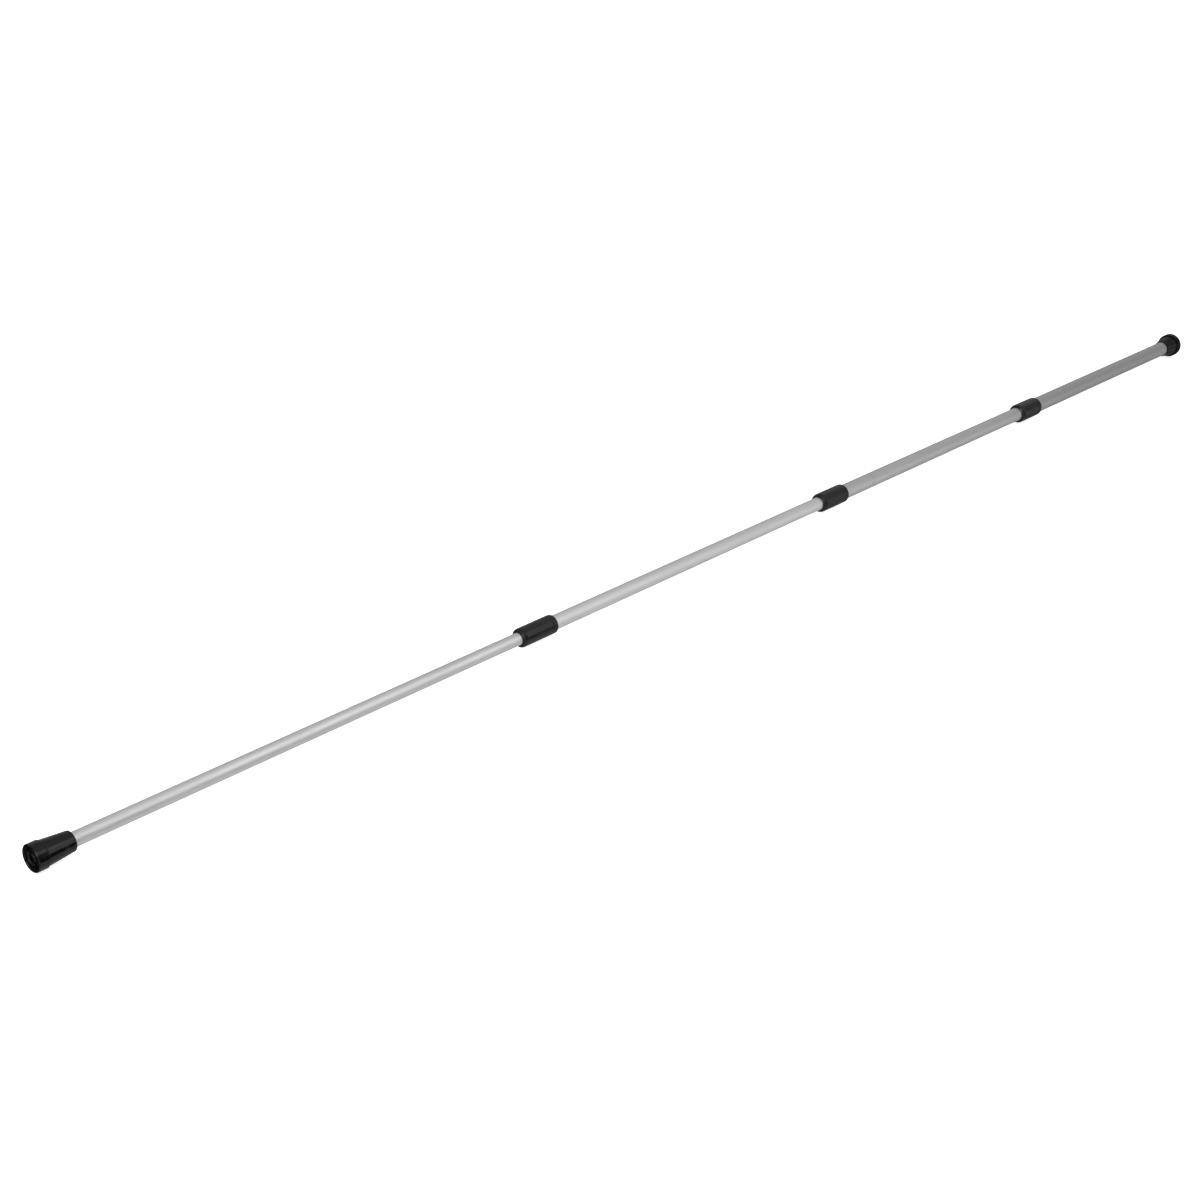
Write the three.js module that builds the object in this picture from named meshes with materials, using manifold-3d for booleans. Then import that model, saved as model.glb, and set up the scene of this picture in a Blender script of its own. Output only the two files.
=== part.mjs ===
// Telescopic cargo bar for a pickup bed: four round aluminium tubes that slide into each other, three
// twist locks that clamp them, and a rubber foot at each end that is pushed against the bed's side.
//
// Millimetres, +Z up. The bar lies along X with the slim end at -X. The origin is the middle of the bar,
// on the axis of the tubes. The bar is drawn fully pulled out.

import * as THREE from "three";
import { mergeVertices } from "three/addons/utils/BufferGeometryUtils.js";
import Module from "manifold-3d";

const wasm = await Module();
wasm.setup();

// Driving dimensions --------------------------------------------------------------------------------

const SEGMENTS = 24; // facets around every round piece
const CURVE_STEPS = 2; // segments in each rounded corner

const WALL = 1; // tube wall
const NEST = 1.5; // each tube's radius is this much larger than that of the tube inside it
const INNER_RADIUS = 8; // slimmest tube

// Base and neck are outer radii. The step is the drop from the band to the taper.
const SMALL_FOOT = { length: 45, base: 15, neck: 11, step: 1 };
const LARGE_FOOT = { length: 42, base: 20.5, neck: 14, step: 2.4 };
const LOCK_LENGTH = 60;
const SOCKET = 30; // how far a tube's mouth reaches into its own lock
const NOSE = LOCK_LENGTH - SOCKET; // the part of the lock in front of the mouth

const FIT = 0.15; // radial gap between pieces that sit on each other
const FACE_GAP = 0.3; // gap between pieces that meet end to end

// The four tubes, slimmest first. "shown" is the length of tube between its two black fittings.
const TUBES = [
  { name: "inner", shown: 626 },
  { name: "third", shown: 568 },
  { name: "second", shown: 512 },
  { name: "outer", shown: 481 },
].map((tube, index) => ({ ...tube, radius: INNER_RADIUS + index * NEST }));

// Feet
const SOLE = 8; // rubber between the foot's face and the washer
const WASHER_THICKNESS = 1.2;
const WASHER_HOLE = 3;
const FOOT_BAND = 12; // length of the widest part of a foot
const STEP_LENGTH = 1; // from the band's edge to the start of the taper
const TREAD_DEPTH = 1; // how far the rings of the face stand back from the rim
const GROOVE_DEPTH = 2.5; // how far the grooves of the face stand back from the rim
const TREAD = { boss: 0.28, ringInner: 0.5, ringOuter: 0.66, rimInner: 0.84 }; // shares of the radius
const TUBE_STOP = SOLE + WASHER_THICKNESS + 2 * FACE_GAP; // where the tube's end stands in the foot

// Twist locks, measured from the front face of the lock along +X
const LOCK_WALL = 2.75; // how far the lock stands above the tube that carries it
const THREAD_HEIGHT = 1.2; // how far the threaded sleeve stands above that tube
const THREAD_GAP = 0.3; // between the sleeve and the nut
const NUT_LENGTH = 52;
const PARTING = 0.3; // visible gap between the turning nut and the fixed rear ring
const SLEEVE_START = 20;
const COLLET_START = 6;
const CONE_END = 14;
const COLLET_NOSE = 1.3; // height of the collet above the sliding tube at its front
const COLLET_HEIGHT = 2.2; // and behind the cone
const COLLET_SLOTS = 6;
const SLOT_WIDTH = 1.2;
const WIPER_START = 2.2;
const WIPER_LENGTH = 2;
const WIPER_HEIGHT = 1.7;
const NOSE_CLEARANCE = 0.4; // radial gap between the nut's nose and the sliding tube

// Tail of each sliding tube
const TAIL = 29; // how far the tube reaches past the mouth it slides in
const GUIDE_FIT = 0.1; // radial gap on each side of the guide sleeve
const PLUG_SHANK = 8;
const PLUG_FLANGE = 2;
const PLUG_WALL = 1.2;

// Materials -----------------------------------------------------------------------------------------

function material(color, roughness, metalness) {
  return new THREE.MeshStandardMaterial({ color, roughness, metalness });
}

const aluminium = material(0xb4b6b8, 0.35, 1);
const steel = material(0x8e9194, 0.4, 1);
const blackPlastic = material(0x2c2d2e, 0.5, 0);
const blackRubber = material(0x1e1e1f, 0.65, 0);
const naturalNylon = material(0xd9d6cb, 0.5, 0);
const greyAcetal = material(0x6f7275, 0.45, 0);

// Building blocks -----------------------------------------------------------------------------------

// Turns an outline in (x, radius) around the X axis.
function revolve(outline) {
  const points = outline.getPoints(CURVE_STEPS).map((point) => new THREE.Vector2(point.y, point.x));
  return new THREE.LatheGeometry(points, SEGMENTS).rotateZ(-Math.PI / 2);
}

// A ring with a square section.
function ring(start, end, innerRadius, outerRadius) {
  const outline = new THREE.Path();
  outline.moveTo(start, innerRadius);
  outline.lineTo(start, outerRadius);
  outline.lineTo(end, outerRadius);
  outline.lineTo(end, innerRadius);
  outline.lineTo(start, innerRadius);
  return revolve(outline);
}

function part(name, geometry, finish) {
  const mesh = new THREE.Mesh(geometry, finish);
  mesh.name = name;
  return mesh;
}

function toSolid(geometry) {
  const bare = new THREE.BufferGeometry();
  bare.setAttribute("position", geometry.getAttribute("position"));
  bare.setIndex(geometry.index);
  const merged = mergeVertices(bare, 1e-3);
  const mesh = new wasm.Mesh({
    numProp: 3,
    vertProperties: merged.getAttribute("position").array,
    triVerts: new Uint32Array(merged.index.array),
  });
  return new wasm.Manifold(mesh);
}

function toGeometry(solid) {
  const mesh = solid.getMesh();
  const geometry = new THREE.BufferGeometry();
  geometry.setAttribute("position", new THREE.BufferAttribute(mesh.vertProperties, 3));
  geometry.setIndex(new THREE.BufferAttribute(mesh.triVerts, 1));
  return geometry;
}

// Tube and its tail ---------------------------------------------------------------------------------

// A sliding tube also reaches through the front of the next lock and a little way into its tube.
function tubeLength(index) {
  const front = index === 0 ? SMALL_FOOT.length - TUBE_STOP : SOCKET;
  const rear = index === TUBES.length - 1 ? LARGE_FOOT.length - TUBE_STOP : NOSE + TAIL;
  return front + TUBES[index].shown + rear;
}

// Thin sleeve that guides the tube's tail. With the tube pulled out it stands against the lock's lip.
function guideSleeve(radius, tail) {
  return ring(tail - TAIL, tail, radius + GUIDE_FIT, radius + NEST - WALL - GUIDE_FIT);
}

// Cup-shaped plug in the tail, with a flange that holds the guide sleeve on.
function endPlug(radius, tail) {
  const shank = radius - WALL - FIT;
  const flange = radius + NEST - WALL - FIT;
  const flangeStart = tail + FACE_GAP;
  const flangeEnd = flangeStart + PLUG_FLANGE;
  const cupFront = tail - PLUG_SHANK;
  const outline = new THREE.Path();
  outline.moveTo(flangeStart, 0);
  outline.lineTo(flangeStart, shank - PLUG_WALL);
  outline.lineTo(cupFront, shank - PLUG_WALL);
  outline.lineTo(cupFront, shank);
  outline.lineTo(flangeStart, shank);
  outline.lineTo(flangeStart, flange);
  outline.lineTo(flangeEnd, flange);
  outline.lineTo(flangeEnd, 0);
  return revolve(outline);
}

// Foot ----------------------------------------------------------------------------------------------

// Rubber foot with its face at x = 0 and its mouth at x = length.
function footGeometry(tubeRadius, { length, base: baseRadius, neck: neckRadius, step }) {
  const edge = 0.8;
  const mouthRound = 1.6;
  const mouthChamfer = 0.4;
  const bore = tubeRadius + FIT;
  const taperStart = FOOT_BAND + STEP_LENGTH;
  const outline = new THREE.Path();
  outline.moveTo(TREAD_DEPTH, 0);
  outline.lineTo(TREAD_DEPTH, baseRadius * TREAD.boss);
  outline.lineTo(GROOVE_DEPTH, baseRadius * TREAD.boss + edge);
  outline.lineTo(GROOVE_DEPTH, baseRadius * TREAD.ringInner - edge);
  outline.lineTo(TREAD_DEPTH, baseRadius * TREAD.ringInner);
  outline.lineTo(TREAD_DEPTH, baseRadius * TREAD.ringOuter);
  outline.lineTo(GROOVE_DEPTH, baseRadius * TREAD.ringOuter + edge);
  outline.lineTo(GROOVE_DEPTH, baseRadius * TREAD.rimInner - edge);
  outline.lineTo(0, baseRadius * TREAD.rimInner);
  outline.lineTo(0, baseRadius - edge);
  outline.quadraticCurveTo(0, baseRadius, edge, baseRadius);
  outline.lineTo(FOOT_BAND, baseRadius);
  outline.lineTo(taperStart, baseRadius - step);
  outline.lineTo(length - mouthRound, neckRadius);
  outline.quadraticCurveTo(length, neckRadius, length, neckRadius - edge);
  outline.lineTo(length, bore + mouthChamfer);
  outline.lineTo(length - mouthChamfer, bore);
  outline.lineTo(SOLE, bore);
  outline.lineTo(SOLE, 0);
  return revolve(outline);
}

function foot(name, tubeRadius, shape) {
  const washerStart = SOLE + FACE_GAP;
  const washerEnd = washerStart + WASHER_THICKNESS;
  const group = new THREE.Group();
  group.add(part(`${name}_foot`, footGeometry(tubeRadius, shape), blackRubber));
  group.add(part(`${name}_foot_washer`, ring(washerStart, washerEnd, WASHER_HOLE, tubeRadius), steel));
  return group;
}

// Twist lock ----------------------------------------------------------------------------------------

// Threaded sleeve on the mouth of the tube. Its lip stops the guide sleeve, and its rear ring is the
// fixed end of the lock. The threads are left as plain cylinders.
function lockBody(radius) {
  const lip = radius - NEST + FIT;
  const seat = radius + FIT;
  const thread = radius + THREAD_HEIGHT;
  const outside = radius + LOCK_WALL;
  const ringStart = NUT_LENGTH + PARTING;
  const draft = 0.2;
  const corner = 0.8;
  const outline = new THREE.Path();
  outline.moveTo(SLEEVE_START, lip);
  outline.lineTo(SLEEVE_START, thread);
  outline.lineTo(ringStart, thread);
  outline.lineTo(ringStart, outside);
  outline.lineTo(LOCK_LENGTH - corner, outside - draft);
  outline.quadraticCurveTo(LOCK_LENGTH, outside - draft, LOCK_LENGTH, outside - draft - corner);
  outline.lineTo(LOCK_LENGTH, seat);
  outline.lineTo(NOSE - FACE_GAP, seat);
  outline.lineTo(NOSE - FACE_GAP, lip);
  outline.lineTo(SLEEVE_START, lip);
  return revolve(outline);
}

// Turning nut: the smooth black collar. Its cone squeezes the collet onto the sliding tube.
function lockNut(radius) {
  const sliding = radius - NEST;
  const bore = sliding + NOSE_CLEARANCE;
  const thread = radius + THREAD_HEIGHT + THREAD_GAP;
  const outside = radius + LOCK_WALL;
  const lip = bore + 0.3;
  const shoulder = { x: 1.2, radius: outside - 0.6 };
  const noseEnd = 4.4;
  const grooveStart = 4.5;
  const grooveWidth = 0.8;
  const grooveDepth = 0.3;
  const wiperSeat = sliding + WIPER_HEIGHT + FACE_GAP;
  const wiperSeatStart = WIPER_START - FACE_GAP;
  const wiperSeatEnd = WIPER_START + WIPER_LENGTH + FACE_GAP;
  const outline = new THREE.Path();
  outline.moveTo(0, bore);
  outline.lineTo(0, lip);
  outline.quadraticCurveTo(shoulder.x, shoulder.radius, noseEnd, outside);
  outline.lineTo(grooveStart, outside);
  outline.lineTo(grooveStart + grooveWidth / 2, outside - grooveDepth);
  outline.lineTo(grooveStart + grooveWidth, outside);
  outline.lineTo(NUT_LENGTH, outside);
  outline.lineTo(NUT_LENGTH, thread);
  outline.lineTo(CONE_END, thread);
  outline.lineTo(CONE_END, sliding + COLLET_HEIGHT + FACE_GAP);
  outline.lineTo(COLLET_START - FACE_GAP, sliding + COLLET_NOSE + FACE_GAP);
  outline.lineTo(COLLET_START - FACE_GAP, bore);
  outline.lineTo(wiperSeatEnd, bore);
  outline.lineTo(wiperSeatEnd, wiperSeat);
  outline.lineTo(wiperSeatStart, wiperSeat);
  outline.lineTo(wiperSeatStart, bore);
  outline.lineTo(0, bore);
  return revolve(outline);
}

// Tapered ring around the sliding tube, slit from the front into fingers and cut right through once.
function lockCollet(radius) {
  const sliding = radius - NEST;
  const end = SLEEVE_START - FACE_GAP;
  const solidBack = 4;
  const outline = new THREE.Path();
  outline.moveTo(COLLET_START, sliding + FIT);
  outline.lineTo(COLLET_START, sliding + COLLET_NOSE);
  outline.lineTo(CONE_END - FACE_GAP, sliding + COLLET_HEIGHT);
  outline.lineTo(end, sliding + COLLET_HEIGHT);
  outline.lineTo(end, sliding + FIT);
  outline.lineTo(COLLET_START, sliding + FIT);
  let solid = toSolid(revolve(outline));
  const reach = radius + LOCK_WALL;
  for (let slot = 0; slot < COLLET_SLOTS; slot += 1) {
    const front = COLLET_START - 1;
    const back = slot === 0 ? end + 1 : end - solidBack;
    const blade = new THREE.BoxGeometry(back - front, SLOT_WIDTH, reach);
    blade.translate((front + back) / 2, 0, reach / 2);
    blade.rotateX((slot * 2 * Math.PI) / COLLET_SLOTS);
    solid = solid.subtract(toSolid(blade));
  }
  return toGeometry(solid);
}

// Soft ring in the nut's nose that keeps grit off the collet.
function lockWiper(radius) {
  const sliding = radius - NEST;
  return ring(WIPER_START, WIPER_START + WIPER_LENGTH, sliding + FIT, sliding + WIPER_HEIGHT);
}

function lock(tube) {
  const group = new THREE.Group();
  group.position.x = -NOSE;
  group.add(part(`${tube.name}_lock_body`, lockBody(tube.radius), blackPlastic));
  group.add(part(`${tube.name}_lock_nut`, lockNut(tube.radius), blackPlastic));
  group.add(part(`${tube.name}_lock_collet`, lockCollet(tube.radius), naturalNylon));
  group.add(part(`${tube.name}_lock_wiper`, lockWiper(tube.radius), blackRubber));
  return group;
}

// Sections ------------------------------------------------------------------------------------------

// One tube with its lock and its tail. The section's origin is the slim-side end of the tube.
function section(index) {
  const tube = TUBES[index];
  const length = tubeLength(index);
  const group = new THREE.Group();
  group.add(part(`${tube.name}_tube`, ring(0, length, tube.radius - WALL, tube.radius), aluminium));
  if (index > 0) {
    group.add(lock(tube));
  }
  if (index < TUBES.length - 1) {
    group.add(part(`${tube.name}_guide_sleeve`, guideSleeve(tube.radius, length), greyAcetal));
    group.add(part(`${tube.name}_end_plug`, endPlug(tube.radius, length), blackPlastic));
  }
  return group;
}

const totalLength =
  SMALL_FOOT.length +
  LARGE_FOOT.length +
  (TUBES.length - 1) * LOCK_LENGTH +
  TUBES.reduce((sum, tube) => sum + tube.shown, 0);

const bar = new THREE.Group();

// The outer section holds the second, which holds the third, which holds the inner one.
const last = TUBES.length - 1;
const sections = TUBES.map((tube, index) => section(index));
sections[last].position.x = totalLength / 2 - LARGE_FOOT.length - TUBES[last].shown - SOCKET;
bar.add(sections[last]);
for (let index = last - 1; index >= 0; index -= 1) {
  const pulledOut = tubeLength(index) - TAIL;
  sections[index].position.x = -pulledOut;
  sections[index + 1].add(sections[index]);
}

const smallFoot = foot("small", TUBES[0].radius, SMALL_FOOT);
smallFoot.position.x = -TUBE_STOP;
sections[0].add(smallFoot);

const largeFoot = foot("large", TUBES[last].radius, LARGE_FOOT);
largeFoot.position.x = tubeLength(last) + TUBE_STOP;
largeFoot.rotation.z = Math.PI;
sections[last].add(largeFoot);

export default bar;
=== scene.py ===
"""Looks for a telescopic cargo bar: four anodised tubes, three black twist locks and two rubber feet.

Every piece is an outline turned round the bar's axis, X, but for the collets, which keep their CAD shape.
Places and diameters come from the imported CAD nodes. Outlines are in millimetres: a corner is (x, radius)
or, where it is rounded, (x, radius, reach), and reach is how far from the corner the rounding starts.
"""

import math

import bmesh
import bpy
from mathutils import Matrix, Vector


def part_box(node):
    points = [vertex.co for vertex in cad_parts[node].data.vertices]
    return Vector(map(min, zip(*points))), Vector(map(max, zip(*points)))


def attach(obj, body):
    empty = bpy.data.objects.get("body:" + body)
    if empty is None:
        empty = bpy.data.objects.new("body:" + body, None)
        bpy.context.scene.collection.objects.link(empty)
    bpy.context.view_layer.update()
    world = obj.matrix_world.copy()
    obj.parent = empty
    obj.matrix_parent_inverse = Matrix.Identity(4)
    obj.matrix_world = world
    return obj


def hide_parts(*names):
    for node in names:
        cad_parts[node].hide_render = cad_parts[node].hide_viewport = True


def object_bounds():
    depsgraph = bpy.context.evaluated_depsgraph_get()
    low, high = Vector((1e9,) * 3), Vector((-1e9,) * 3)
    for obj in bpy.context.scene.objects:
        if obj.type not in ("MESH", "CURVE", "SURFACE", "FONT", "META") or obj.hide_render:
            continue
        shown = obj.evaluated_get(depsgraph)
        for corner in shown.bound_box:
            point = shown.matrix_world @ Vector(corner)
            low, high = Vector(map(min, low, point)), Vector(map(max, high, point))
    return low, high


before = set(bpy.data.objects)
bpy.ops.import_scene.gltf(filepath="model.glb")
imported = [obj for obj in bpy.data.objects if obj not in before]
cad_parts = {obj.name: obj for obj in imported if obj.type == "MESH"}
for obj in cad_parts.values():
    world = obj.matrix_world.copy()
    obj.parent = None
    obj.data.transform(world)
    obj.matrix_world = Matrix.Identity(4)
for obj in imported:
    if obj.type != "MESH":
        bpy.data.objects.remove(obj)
cad_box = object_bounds()

MM = 0.001  # metres
SEGMENTS = 144  # facets round a piece
ROUNDING_STEPS = 5
SUPPORT = 0.3  # from a corner to the extra point that keeps a long side straight
SHARP_ANGLE = math.radians(32)
SEAM_ANGLE = math.pi / 4  # the mould lines stand here and opposite

TUBES = ["inner", "third", "second", "outer"]  # each slides in the next
SKIN_TONE_AND_SHADE = {"inner": 0.98, "third": 1.07, "second": 0.86, "outer": 0.72}  # how light each tube's skin is drawn: partly its own tone, partly painted light and shade fitted to how bright each tube looks under the studio light, mostly darker towards the thick end


# Outlines and meshes ---------------------------------------------------------------------------------


def rounded(before, corner, after, reach):
    """The corner as a curve that starts and ends reach away from it, or less where a side is short."""
    to_before = before - corner
    to_after = after - corner
    reach = min(reach, 0.49 * to_before.length, 0.49 * to_after.length)
    start = corner + to_before.normalized() * reach
    end = corner + to_after.normalized() * reach
    points = []
    for step in range(ROUNDING_STEPS + 1):
        t = step / ROUNDING_STEPS
        points.append(start.lerp(corner, t).lerp(corner.lerp(end, t), t))
    return points


def outline_points(corners):
    """All the points of an outline, with its rounded corners drawn out and its long sides supported."""
    places = [Vector(corner[:2]) for corner in corners]
    points = []
    for index, corner in enumerate(corners):
        if len(corner) == 2:
            points.append(places[index])
        else:
            after = places[(index + 1) % len(places)]
            points.extend(rounded(places[index - 1], places[index], after, corner[2]))
    return supported(points)


def supported(points):
    """Adds a point close to each end of the long sides, so that smooth shading doesn't bend them."""
    held = []
    for index, point in enumerate(points):
        side = points[(index + 1) % len(points)] - point
        held.append(point)
        if side.length > 4 * SUPPORT:
            held.append(point + side.normalized() * SUPPORT)
            held.append(point + side - side.normalized() * SUPPORT)
    return held


def turned(name, corners, seam=0.0):
    """A solid made by turning a closed outline round X. seam is the height of its two mould lines."""
    mesh = bmesh.new()
    rings = [ring_of_vertices(mesh, x, radius, seam) for x, radius in outline_points(corners)]
    for index, ring in enumerate(rings):
        following = rings[(index + 1) % len(rings)]
        if len(ring) > 1 or len(following) > 1:
            bridge(mesh, ring, following)
    bmesh.ops.recalc_face_normals(mesh, faces=mesh.faces)
    data = bpy.data.meshes.new(name)
    mesh.to_mesh(data)
    mesh.free()
    data.shade_smooth()
    data.set_sharp_from_angle(angle=SHARP_ANGLE)
    piece = bpy.data.objects.new(name, data)
    bpy.context.scene.collection.objects.link(piece)
    return piece


def ring_of_vertices(mesh, x, radius, seam):
    """A ring round X, or a single vertex where the radius is 0."""
    if radius < 1e-3:
        return [mesh.verts.new((x * MM, 0, 0))]
    ring = []
    for step in range(SEGMENTS):
        angle = 2 * math.pi * step / SEGMENTS
        from_seam = abs(math.remainder(angle - SEAM_ANGLE, math.pi))
        raised = seam if from_seam < math.pi / SEGMENTS else 0
        reach = (radius + raised) * MM
        ring.append(mesh.verts.new((x * MM, reach * math.cos(angle), reach * math.sin(angle))))
    return ring


def bridge(mesh, ring, following):
    """Faces between two rings, either of which may be a single point on the axis."""
    for step in range(SEGMENTS):
        after = (step + 1) % SEGMENTS
        if len(ring) == 1:
            mesh.faces.new((ring[0], following[after], following[step]))
        elif len(following) == 1:
            mesh.faces.new((ring[step], ring[after], following[0]))
        else:
            mesh.faces.new((ring[step], ring[after], following[after], following[step]))


def extent(node):
    """Where a CAD node starts and ends along X, and its outer radius, in millimetres."""
    low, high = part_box(node)
    return low.x / MM, high.x / MM, high.z / MM


def sleeve(start, end, inner, outer, edge):
    """The outline of a plain ring with its edges rounded."""
    return [(start, inner, edge), (start, outer, edge), (end, outer, edge), (end, inner, edge)]


def place(piece, node, material, body):
    """The piece stands for a CAD node, with that material, and moves with that body."""
    piece.data.materials.append(material)
    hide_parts(node)
    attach(piece, body)


# Materials -------------------------------------------------------------------------------------------


class Graph:
    """A node tree with shorthands. Their values are sockets or numbers."""

    def __init__(self, tree):
        self.nodes = tree.nodes
        self.links = tree.links

    def feed(self, socket, value):
        if isinstance(value, bpy.types.NodeSocket):
            self.links.new(value, socket)
        else:
            socket.default_value = value

    def maths(self, operation, first, second):
        step = self.nodes.new("ShaderNodeMath")
        step.operation = operation
        self.feed(step.inputs[0], first)
        self.feed(step.inputs[1], second)
        return step.outputs["Value"]

    def remap(self, value, start, end, low, high, interpolation="LINEAR"):
        """low where the value is start or less, high where it is end or more."""
        step = self.nodes.new("ShaderNodeMapRange")
        step.interpolation_type = interpolation
        self.feed(step.inputs["Value"], value)
        self.feed(step.inputs["From Min"], start)
        self.feed(step.inputs["From Max"], end)
        self.feed(step.inputs["To Min"], low)
        self.feed(step.inputs["To Max"], high)
        return step.outputs["Result"]


class Shader(Graph):
    """Builds one procedural material on the bar's own coordinates, in metres."""

    def __init__(self, name):
        self.material = bpy.data.materials.new(name)
        self.material.use_nodes = True
        super().__init__(self.material.node_tree)
        self.surface = self.nodes["Principled BSDF"]
        self.place = self.nodes.new("ShaderNodeTexCoord").outputs["Object"]

    def set(self, **sockets):
        """Plain values or sockets for the surface's own sockets."""
        for name, value in sockets.items():
            self.feed(self.surface.inputs[name.replace("_", " ")], value)

    def noise(self, along, across, detail=3.0, roughness=0.55):
        """Noise with so many features per metre along the bar and across it, from about 0.3 to 0.7."""
        mapping = self.nodes.new("ShaderNodeMapping")
        mapping.inputs["Scale"].default_value = (along, across, across)
        self.links.new(self.place, mapping.inputs["Vector"])
        noise = self.nodes.new("ShaderNodeTexNoise")
        noise.inputs["Scale"].default_value = 1.0
        noise.inputs["Detail"].default_value = detail
        noise.inputs["Roughness"].default_value = roughness
        self.links.new(mapping.outputs["Vector"], noise.inputs["Vector"])
        return noise.outputs["Fac"]

    def spread(self, noise, low, high):
        """The noise stretched from its usual range to low .. high."""
        return self.remap(noise, 0.3, 0.7, low, high)

    def peaks(self, noise, start, full, amount):
        """0 over most of the noise, rising to amount where it goes from start to full."""
        return self.remap(noise, start, full, 0, amount)

    def near(self, x, core, rim, amount):
        """amount within core millimetres of x along the bar, falling to 0 at rim."""
        along = self.nodes.new("ShaderNodeSeparateXYZ")
        self.links.new(self.place, along.inputs["Vector"])
        away = self.maths("ABSOLUTE", self.maths("SUBTRACT", along.outputs["X"], x * MM), 0)
        return self.remap(away, core * MM, rim * MM, amount, 0)

    def blend(self, factor, first, second):
        """A grey between two greys, each a number or a colour socket."""
        mix = self.nodes.new("ShaderNodeMix")
        mix.data_type = "RGBA"
        self.feed(mix.inputs["Factor"], factor)
        for socket, value in ((mix.inputs["A"], first), (mix.inputs["B"], second)):
            self.feed(socket, (value, value, value, 1) if isinstance(value, float) else value)
        return mix.outputs["Result"]

    def drawn_lengthwise(self, amount):
        """Spreads the highlight round the bar, as fine lines along it do."""
        tangent = self.nodes.new("ShaderNodeTangent")
        tangent.direction_type = "RADIAL"
        tangent.axis = "X"
        self.set(Tangent=tangent.outputs["Tangent"], Anisotropic=amount)

    def bump(self, height, strength, depth):
        """Adds a bump to those made before. depth is in metres."""
        bump = self.nodes.new("ShaderNodeBump")
        bump.inputs["Strength"].default_value = strength
        bump.inputs["Distance"].default_value = depth
        self.links.new(height, bump.inputs["Height"])
        normal = self.surface.inputs["Normal"]
        if normal.is_linked:
            self.links.new(normal.links[0].from_socket, bump.inputs["Normal"])
        self.links.new(bump.outputs["Normal"], normal)


def anodised_tube(name, tone_and_shade, ring):
    """Drawn aluminium with a satin silver anodised skin, faint lengthwise lines and a few rub marks.
    ring is where a faint dark ring goes round the tube, or None."""
    shader = Shader(f"{name}_anodised_tube")
    shader.set(Metallic=0.8)
    shader.drawn_lengthwise(0.8)
    patches = shader.noise(6, 30, detail=4)
    draw_lines = shader.noise(2, 900, detail=2)
    scratches = shader.noise(14, 2600, detail=1)
    handled = shader.noise(25, 60, detail=5, roughness=0.65)
    # tone_and_shade scales the skin's grey: the tube's own tone with painted shade in it
    skin = shader.blend(shader.spread(patches, 0, 1), 0.585 * tone_and_shade, 0.615 * tone_and_shade)
    lined = shader.blend(shader.spread(draw_lines, 0, 0.25), skin, 0.50 * tone_and_shade)
    rubbed = shader.peaks(scratches, 0.66, 0.74, 0.4)
    colour = shader.blend(rubbed, lined, 0.75 * tone_and_shade)
    # A faint dark ring painted into the colour round the tube at ring
    if ring is not None:
        colour = shader.blend(shader.near(ring, 1, 3, 0.25), colour, 0.35 * tone_and_shade)
    shader.set(Base_Color=colour)
    satin = shader.spread(handled, 0.40, 0.46)
    shader.set(Roughness=shader.maths("SUBTRACT", satin, shader.maths("MULTIPLY", rubbed, 0.15)))
    shader.bump(draw_lines, 0.10, 0.05 * MM)
    shader.bump(scratches, 0.05, 0.03 * MM)
    return shader.material


def black_plastic():
    """Moulded nylon with a fine spark grain, scuffed a little by hands and by the truck's bed."""
    shader = Shader("black_plastic")
    patches = shader.noise(40, 60, detail=4)
    grain = shader.noise(2600, 2600, detail=1)
    scuffs = shader.noise(70, 900, detail=3, roughness=0.7)
    skin = shader.blend(shader.spread(patches, 0, 1), 0.002, 0.004)
    scuffed = shader.peaks(scuffs, 0.61, 0.78, 0.5)
    shader.set(Base_Color=shader.blend(scuffed, skin, 0.07))
    shader.set(Roughness=shader.maths("ADD", shader.spread(patches, 0.26, 0.34), scuffed))
    shader.set(Specular_IOR_Level=0.3)
    shader.bump(grain, 0.3, 0.08 * MM)
    return shader.material


def black_rubber(name, gloss):
    """Moulded rubber: slightly glossy skin, soft mottling and a little grey bloom."""
    shader = Shader(name)
    mottle = shader.noise(110, 110, detail=5, roughness=0.6)
    bloom = shader.noise(45, 45, detail=4, roughness=0.7)
    pores = shader.noise(1900, 1900, detail=1)
    skin = shader.blend(shader.spread(mottle, 0, 1), 0.0015, 0.003)
    shader.set(Base_Color=shader.blend(shader.peaks(bloom, 0.57, 0.75, 0.25), skin, 0.05))
    shader.set(Roughness=shader.spread(mottle, 0.17, 0.27))
    shader.set(Specular_IOR_Level=gloss)
    shader.bump(mottle, 0.2, 0.25 * MM)
    shader.bump(pores, 0.12, 0.05 * MM)
    return shader.material


def zinc_steel():
    """Zinc-plated washer steel."""
    shader = Shader("zinc_steel")
    spangle = shader.noise(500, 500, detail=3)
    shader.set(Metallic=1.0)
    shader.set(Base_Color=shader.blend(shader.spread(spangle, 0, 1), 0.42, 0.58))
    shader.set(Roughness=shader.spread(spangle, 0.28, 0.45))
    return shader.material


def moulded(name, dark, light):
    """A plain moulded plastic between two greys, for the pieces inside."""
    shader = Shader(name)
    patches = shader.noise(150, 150, detail=4)
    grain = shader.noise(3000, 3000, detail=1)
    shader.set(Base_Color=shader.blend(shader.spread(patches, 0, 1), dark, light))
    shader.set(Roughness=shader.spread(patches, 0.42, 0.55))
    shader.bump(grain, 0.15, 0.04 * MM)
    return shader.material


PLASTIC = black_plastic()
RUBBER = black_rubber("black_rubber", gloss=0.24)
DULL_RUBBER = black_rubber("dull_black_rubber", gloss=0.08)  # for the large foot
STEEL = zinc_steel()
NYLON = moulded("natural_nylon", 0.60, 0.72)
ACETAL = moulded("grey_acetal", 0.15, 0.20)


# Tubes and what is inside them -----------------------------------------------------------------------

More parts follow.
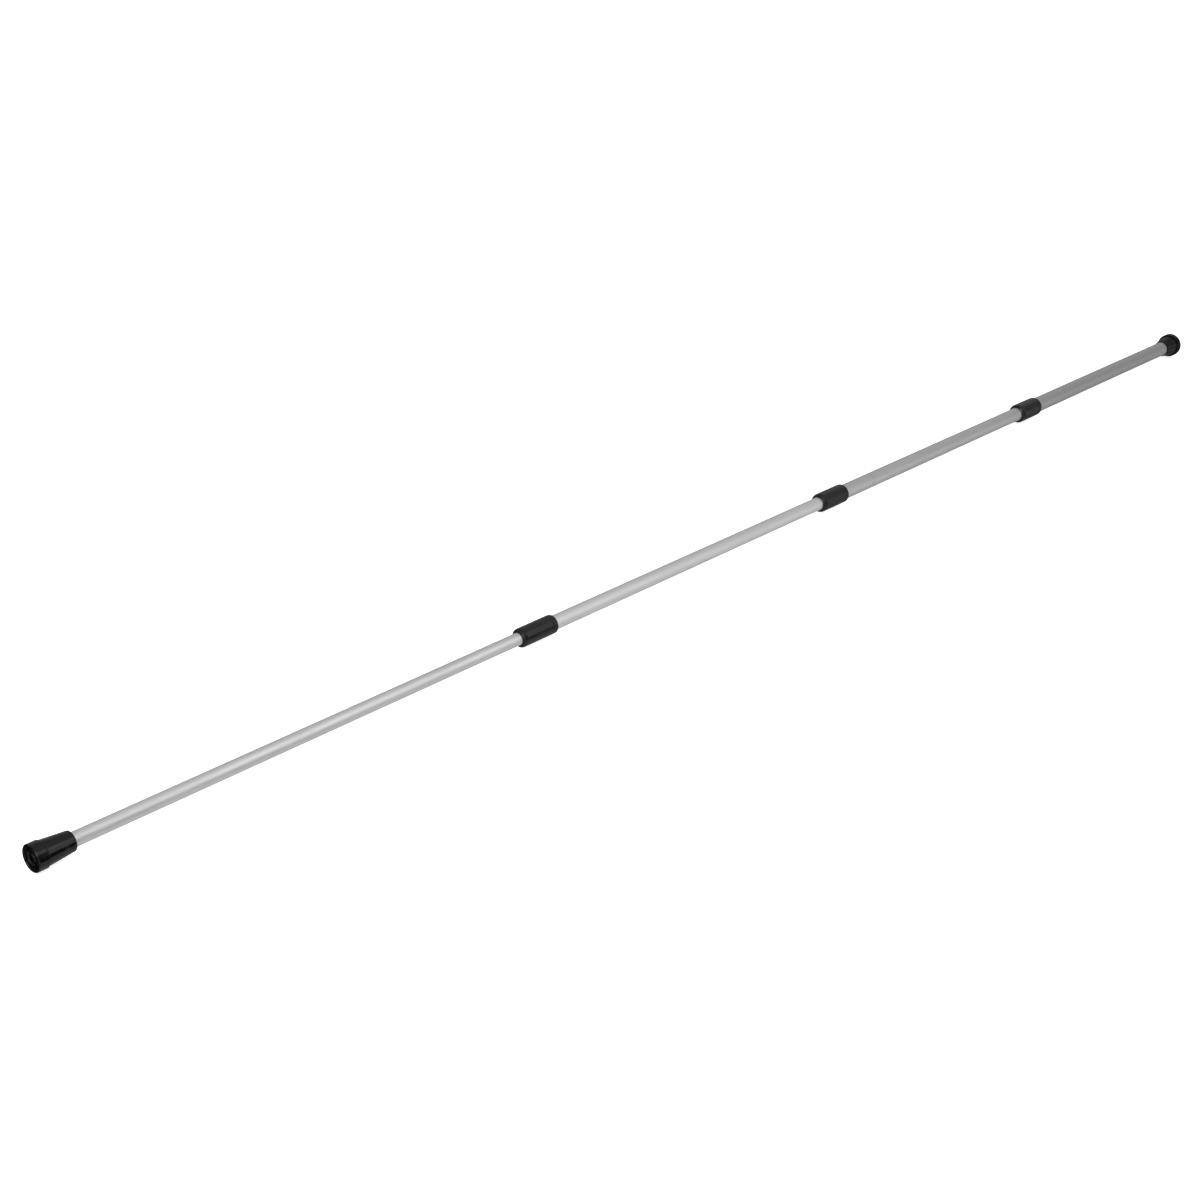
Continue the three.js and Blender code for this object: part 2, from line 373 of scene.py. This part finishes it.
WALL = 1
FIT = 0.15  # radial gap between pieces that sit on each other
GUIDE_FIT = 0.1  # and between a tube and the guide sleeve on it
FACE_GAP = 0.3  # gap between pieces that meet end to end
PLUG_WALL = 1.2
PLUG_FLANGE = 2
DARK_RING_OFFSET = 72  # from the second tube's collar to the faint dark ring painted into its skin's colour


def tube(name):
    start, end, outer = extent(f"{name}_tube")
    piece = turned(f"{name}_tube_skin", sleeve(start, end, outer - WALL, outer, edge=0.2))
    ring = None
    if name == "second":
        ring = extent("second_lock_body")[1] + DARK_RING_OFFSET
    skin = anodised_tube(name, SKIN_TONE_AND_SHADE[name], ring)
    place(piece, f"{name}_tube", skin, f"{name}_section")


def guide_sleeve(name):
    start, end, outer = extent(f"{name}_guide_sleeve")
    inner = extent(f"{name}_tube")[2] + GUIDE_FIT
    piece = turned(f"{name}_guide_sleeve_skin", sleeve(start, end, inner, outer, edge=0.1))
    place(piece, f"{name}_guide_sleeve", ACETAL, f"{name}_section")


def end_plug(name):
    """A cup in the tube's tail, with a flange behind it."""
    start, end, outer = extent(f"{name}_end_plug")
    shank = extent(f"{name}_tube")[2] - WALL - FIT
    inside = shank - PLUG_WALL
    flange = end - PLUG_FLANGE
    edge = 0.3
    corners = [
        (flange, 0),
        (flange, inside, edge),
        (start, inside, edge),
        (start, shank, edge),
        (flange, shank),
        (flange, outer, edge),
        (end, outer, edge),
        (end, 0),
    ]
    piece = turned(f"{name}_end_plug_skin", corners)
    place(piece, f"{name}_end_plug", PLASTIC, f"{name}_section")


# Twist locks -----------------------------------------------------------------------------------------

SEAM = 0.05  # height of the mould lines
NOSE_CLEARANCE = 0.4  # between the nut's nose and the sliding tube
THREAD_HEIGHT = 1.2  # of the threaded sleeve above the tube that carries it
THREAD_GAP = 0.3
CONE_END = 14  # from the nut's front to the back of the cone inside


def lock_nut(name, sliding):
    """The smooth collar: a rounded conical nose, a fine groove behind it, and a long plain grip.
    Inside are the wiper's seat, the cone that squeezes the collet, and the thread."""
    start, end, outside = extent(f"{name}_lock_nut")
    wiper_start, wiper_end, wiper_outside = extent(f"{name}_lock_wiper")
    bore = extent(f"{sliding}_tube")[2] + NOSE_CLEARANCE
    thread = extent(f"{name}_tube")[2] + THREAD_HEIGHT + THREAD_GAP
    groove = start + 4.6
    groove_floor = outside - 0.4
    seat = wiper_outside + FACE_GAP
    seat_front = wiper_start - FACE_GAP
    seat_back = wiper_end + FACE_GAP
    cone_front = extent(f"{name}_lock_collet")[0] - FACE_GAP
    cone_back = start + CONE_END
    corners = [
        # Nose
        (start + 0.1, bore, 0.1),
        (start, bore + 0.2, 0.15),
        (start + 0.9, outside - 1.9, 1),
        (start + 2.4, outside - 0.5, 1.2),
        # Groove and grip
        (groove, outside - 0.05, 0.12),
        (groove + 0.1, groove_floor, 0.1),
        (groove + 0.5, groove_floor, 0.1),
        (groove + 0.6, outside, 0.15),
        (end, outside, 0.35),
        # Thread and cone
        (end, thread, 0.2),
        (cone_back, thread),
        (cone_back - 0.3, thread - 0.8),
        (cone_front, bore + 1.2),
        (cone_front, bore),
        # The wiper's seat
        (seat_back, bore, 0.1),
        (seat_back, seat),
        (seat_front, seat),
        (seat_front, bore, 0.1),
    ]
    piece = turned(f"{name}_lock_grip", corners, SEAM)
    place(piece, f"{name}_lock_nut", PLASTIC, f"{name}_nut")


def lock_body(name, sliding):
    """The threaded sleeve under the nut, and behind it the fixed ring that ends the collar."""
    start, end, outside = extent(f"{name}_lock_body")
    mouth, _, carried = extent(f"{name}_tube")
    lip = extent(f"{sliding}_tube")[2] + FIT
    seat = carried + FIT
    thread = carried + THREAD_HEIGHT
    ring_start = extent(f"{name}_lock_nut")[1] + FACE_GAP
    corners = [
        (start, lip, 0.2),
        (start, thread, 0.4),
        (ring_start, thread),
        (ring_start, outside, 0.35),
        (end, outside - 0.2, 1),
        (end, seat, 0.25),
        (mouth - FACE_GAP, seat),
        (mouth - FACE_GAP, lip, 0.1),
    ]
    piece = turned(f"{name}_lock_ring", corners, SEAM)
    place(piece, f"{name}_lock_body", PLASTIC, f"{name}_section")


def lock_wiper(name, sliding):
    """Soft ring in the nose, with a thin lip that strokes the sliding tube."""
    start, end, outside = extent(f"{name}_lock_wiper")
    lip = extent(f"{sliding}_tube")[2] + FIT
    edge = 0.3
    corners = [
        (start, lip, edge),
        (start, outside, edge),
        (end, outside, edge),
        (end, lip + 0.5, edge),
    ]
    piece = turned(f"{name}_lock_wiper_ring", corners)
    place(piece, f"{name}_lock_wiper", RUBBER, f"{name}_nut")


def lock_collet(name):
    """The slit collet keeps its CAD shape, in natural nylon."""
    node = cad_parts[f"{name}_lock_collet"]
    node.data.materials.clear()
    node.data.materials.append(NYLON)


# Feet ------------------------------------------------------------------------------------------------

NECKS = {"small": 11, "large": 14}  # outer radius where the taper ends
STEPS = {"small": 1, "large": 2.4}  # drop from the band to the taper
SOLE = 8  # rubber between the face and the washer
BAND = 12  # length of the widest part
TREAD = 1  # how far the rings of the face stand back from its rim
GROOVE = 2.5  # and the grooves between them
FACE_RINGS = (0.28, 0.5, 0.66, 0.84)  # edges of the boss, the ring and the rim, as shares of the radius
BEVEL = 0.9  # round the face
FOOT_SEAM = 0.12  # height of the mould lines
WASHER_HOLE = 3


def foot(name, tube_node, rubber, body):
    """A walking-stick tip: a ringed face, a wide band, a step, and a plain taper to a rounded mouth."""
    start, end, base = extent(f"{name}_foot")
    length = end - start
    bore = extent(tube_node)[2] + FIT
    neck = NECKS[name]
    boss, ring_inner, ring_outer, rim = [share * base for share in FACE_RINGS]
    slope = 0.8  # how far the sides of the grooves lean in
    depths = [  # from the face towards the mouth
        (TREAD, 0),
        (TREAD, boss, 0.5),
        (GROOVE, boss + slope, 0.4),
        (GROOVE, ring_inner - slope, 0.4),
        (TREAD, ring_inner, 0.4),
        (TREAD, ring_outer, 0.4),
        (GROOVE, ring_outer + slope, 0.4),
        (GROOVE, rim - slope, 0.4),
        (0, rim, 0.4),
        (0, base - BEVEL, 0.3),
        (BEVEL, base, 0.3),
        (BAND, base, 0.5),
        (BAND + 0.6, base - STEPS[name], 0.4),
        (length, neck, 1.6),
        (length, bore + 0.3, 0.5),
        (length - 0.7, bore, 0.4),
        (SOLE, bore, 0.3),
        (SOLE, 0),
    ]
    if name == "small":
        corners = [(start + depth, *rest) for depth, *rest in depths]
    else:
        corners = [(end - depth, *rest) for depth, *rest in depths]
    piece = turned(f"{name}_foot_rubber", corners, FOOT_SEAM)
    place(piece, f"{name}_foot", rubber, body)


def foot_washer(name, body):
    start, end, outer = extent(f"{name}_foot_washer")
    piece = turned(f"{name}_foot_washer_disc", sleeve(start, end, WASHER_HOLE, outer, edge=0.2))
    place(piece, f"{name}_foot_washer", STEEL, body)


for tube_name in TUBES:
    tube(tube_name)

for sliding_name, carrier_name in zip(TUBES, TUBES[1:]):
    guide_sleeve(sliding_name)
    end_plug(sliding_name)
    lock_nut(carrier_name, sliding_name)
    lock_body(carrier_name, sliding_name)
    lock_wiper(carrier_name, sliding_name)
    lock_collet(carrier_name)

foot("small", "inner_tube", RUBBER, "inner_section")
foot("large", "outer_tube", DULL_RUBBER, "outer_section")
foot_washer("small", "inner_section")
foot_washer("large", "outer_section")


# Floor, light and camera -----------------------------------------------------------------------------


def floor():
    """A pale floor that both feet stand on. The feet differ in size, so it leans a little along X."""
    small_low, small_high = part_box("small_foot")
    large_low, large_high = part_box("large_foot")
    run = large_low.x - small_high.x
    rise = large_low.z - small_low.z
    bpy.ops.mesh.primitive_plane_add(size=80)
    ground = bpy.context.object
    ground.name = "floor"
    ground.location = ((large_low.x + small_high.x) / 2, 0, (large_low.z + small_low.z) / 2)
    ground.rotation_euler = (0, -math.atan2(rise, run), 0)
    shader = Shader("pale_floor")
    cloud = shader.noise(3, 3, detail=2)
    shader.set(Base_Color=shader.blend(shader.spread(cloud, 0, 1), 0.93, 0.95))
    shader.set(Roughness=0.9, Specular_IOR_Level=0.1)
    shader.set(Emission_Color=(1, 1, 1, 1), Emission_Strength=0.75)
    ground.data.materials.append(shader.material)
    ground.visible_glossy = False


def direction(azimuth, elevation):
    """A unit vector. Azimuth is in degrees from -Y towards +X, elevation in degrees above the floor."""
    across = math.cos(math.radians(elevation))
    return Vector(
        (
            math.sin(math.radians(azimuth)) * across,
            -math.cos(math.radians(azimuth)) * across,
            math.sin(math.radians(elevation)),
        )
    )


class Studio(Graph):
    """The studio as its reflections show it: a product of soft shapes in the direction of view."""

    def __init__(self):
        world = bpy.data.worlds.new("studio")
        bpy.context.scene.world = world
        world.use_nodes = True
        super().__init__(world.node_tree)
        self.view = self.nodes.new("ShaderNodeTexCoord").outputs["Generated"]
        self.reflected = 1.0

    def shape(self, towards, start, end, low, high):
        """low to high as the cosine of the angle from a direction goes from start to end."""
        dot = self.nodes.new("ShaderNodeVectorMath")
        dot.operation = "DOT_PRODUCT"
        self.links.new(self.view, dot.inputs[0])
        dot.inputs[1].default_value = towards
        factor = self.remap(dot.outputs["Value"], start, end, low, high, "SMOOTHSTEP")
        self.reflected = self.maths("MULTIPLY", self.reflected, factor)

    def panel(self, azimuth, elevation, core, rim, gain):
        """gain times as bright within core degrees of a direction, as before beyond rim degrees."""
        towards = direction(azimuth, elevation)
        self.shape(towards, math.cos(math.radians(rim)), math.cos(math.radians(core)), 1, gain)

    def switch_on(self, plain):
        """The floor and the bar's own colours get even light. Only reflections see the shapes."""
        glossy = self.nodes.new("ShaderNodeLightPath").outputs["Is Glossy Ray"]
        difference = self.maths("SUBTRACT", self.reflected, plain)
        background = self.nodes["Background"]
        background.inputs["Color"].default_value = (1, 1, 1, 1)
        strength = self.maths("ADD", self.maths("MULTIPLY", difference, glossy), plain)
        self.links.new(strength, background.inputs["Strength"])


def light():
    """A room that dims towards both ends of the bar, behind it and below, with lamps, white cards and
    black flags in it. Most of them stand in front of the bar, to the camera's right."""
    studio = Studio()
    studio.shape(Vector((1, 0, 0)), 0.52, 1, 0.98, 0.1)  # fades towards the thick end
    studio.shape(Vector((-1, 0, 0)), 0.7, 1, 1, 0.45)  # and a little towards the slim end
    studio.shape(Vector((0, 1, 0)), -0.3, 0.5, 1, 0.57)  # the far side of the room
    studio.shape(Vector((0, 0, -1)), 0.1, 0.7, 1, 0.72)  # and below
    studio.panel(39, 35, 10, 14, 3)  # lamp: the bright line above the middle of the tubes
    studio.panel(35, -10, 25, 29, 3.2)  # wide white card round the low flag
    studio.panel(31, -13, 17, 21, 0)  # low flag: the dark line under the middle of the slim tube
    studio.panel(8, 20, 21, 25, 0)  # upright flag: the dark side of the small foot
    studio.panel(65, -10, 31, 42, 0.8)  # the low side of the room, beyond the card
    studio.panel(101, 16, 19, 23, 2.75)  # card at the thick end: the light edges of the thick tubes
    studio.panel(-151, -30, 25, 50, 0)  # dark wall that the small foot's face looks at
    studio.panel(-74, 22, 9, 14, 11)  # small lamp: the bright line on that face's rim
    studio.switch_on(plain=1.0)


def camera():
    """Looks along the bar from in front of its slim end, at a point a third of the way along."""
    low, high = cad_box
    aim_share = 0.3347  # of the bar's length, from the slim end
    aim_height = 0.0027  # above the axis
    aim = Vector((low.x + aim_share * (high.x - low.x), 0, aim_height))
    back = direction(azimuth=-48.81, elevation=23.2)
    distance = 2.2925
    data = bpy.data.cameras.new("camera")
    data.lens = 54.5
    data.sensor_width = 36
    data.clip_start = 0.05
    data.clip_end = 200
    eye = bpy.data.objects.new("camera", data)
    eye.location = aim + back * distance
    eye.rotation_euler = (-back).to_track_quat("-Z", "Y").to_euler()
    bpy.context.scene.collection.objects.link(eye)
    bpy.context.scene.camera = eye


floor()
light()
camera()
bpy.context.scene.view_settings.view_transform = "Standard"
